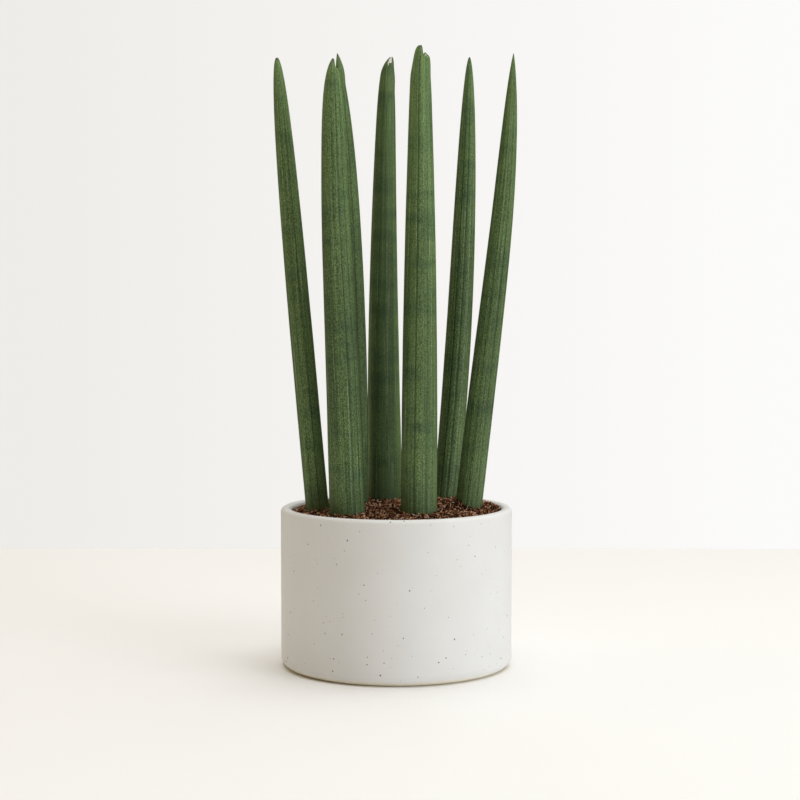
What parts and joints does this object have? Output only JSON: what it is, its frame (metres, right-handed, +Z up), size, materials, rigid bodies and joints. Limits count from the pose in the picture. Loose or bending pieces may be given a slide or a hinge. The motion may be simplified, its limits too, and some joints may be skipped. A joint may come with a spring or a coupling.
{
  "type": "cylindrical snake plant",
  "caption": "Succulent with tall round spear-shaped leaves, standing in potting mix in a plain cylindrical stoneware pot.",
  "frame": {"origin": "middle of the pot's foot, on the surface that the pot stands on", "axes": "+Z up along the pot's axis; -Y is the front of the plant, +X its right as seen from the front"},
  "size_m": [0.1659, 0.16, 0.4245],
  "materials": {
    "pot": "matte",
    "potting_mix": "matte",
    "leaf": "satin"
  },
  "bodies": {
    "root": {"pot": "pot", "potting_mix": "potting_mix", "leaf_far_left": "leaf", "leaf_front_left": "leaf", "leaf_behind_left": "leaf", "leaf_centre_back": "leaf", "leaf_centre_front": "leaf", "leaf_right_back": "leaf", "leaf_far_right": "leaf"}
  },
  "joints": []
}
